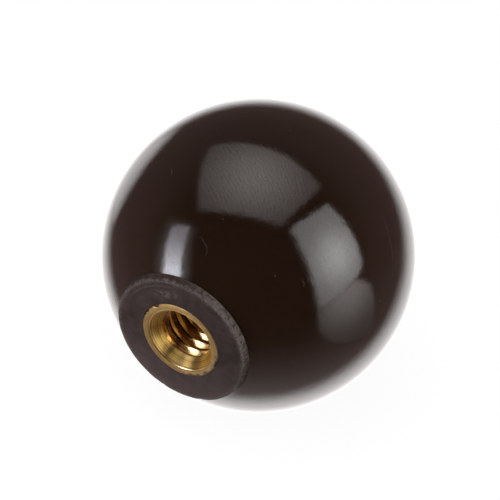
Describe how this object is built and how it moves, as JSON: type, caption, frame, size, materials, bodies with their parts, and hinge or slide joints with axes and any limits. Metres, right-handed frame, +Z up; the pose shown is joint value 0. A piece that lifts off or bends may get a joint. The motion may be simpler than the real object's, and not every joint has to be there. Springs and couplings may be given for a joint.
{
  "type": "stove ball knob",
  "caption": "Glossy dark ball knob with a short flat-faced collar and a flush, knurled brass insert that holds a blind tapped hole.",
  "frame": {"origin": "on the thread axis in the plane of the flat end face, at the centre of the hole's mouth", "axes": "+Z up, -Y out of the threaded hole, +Y into the ball along the thread axis, as fitted to a stud that is level"},
  "size_m": [0.038, 0.0369, 0.038],
  "materials": {
    "phenolic": "polished very dark brown moulded phenolic, with a matte machined collar face",
    "brass": "turned and tapped brass, bright, with fine tool marks"
  },
  "bodies": {
    "root": {"ball": "phenolic", "threaded_insert": "brass"}
  },
  "joints": []
}
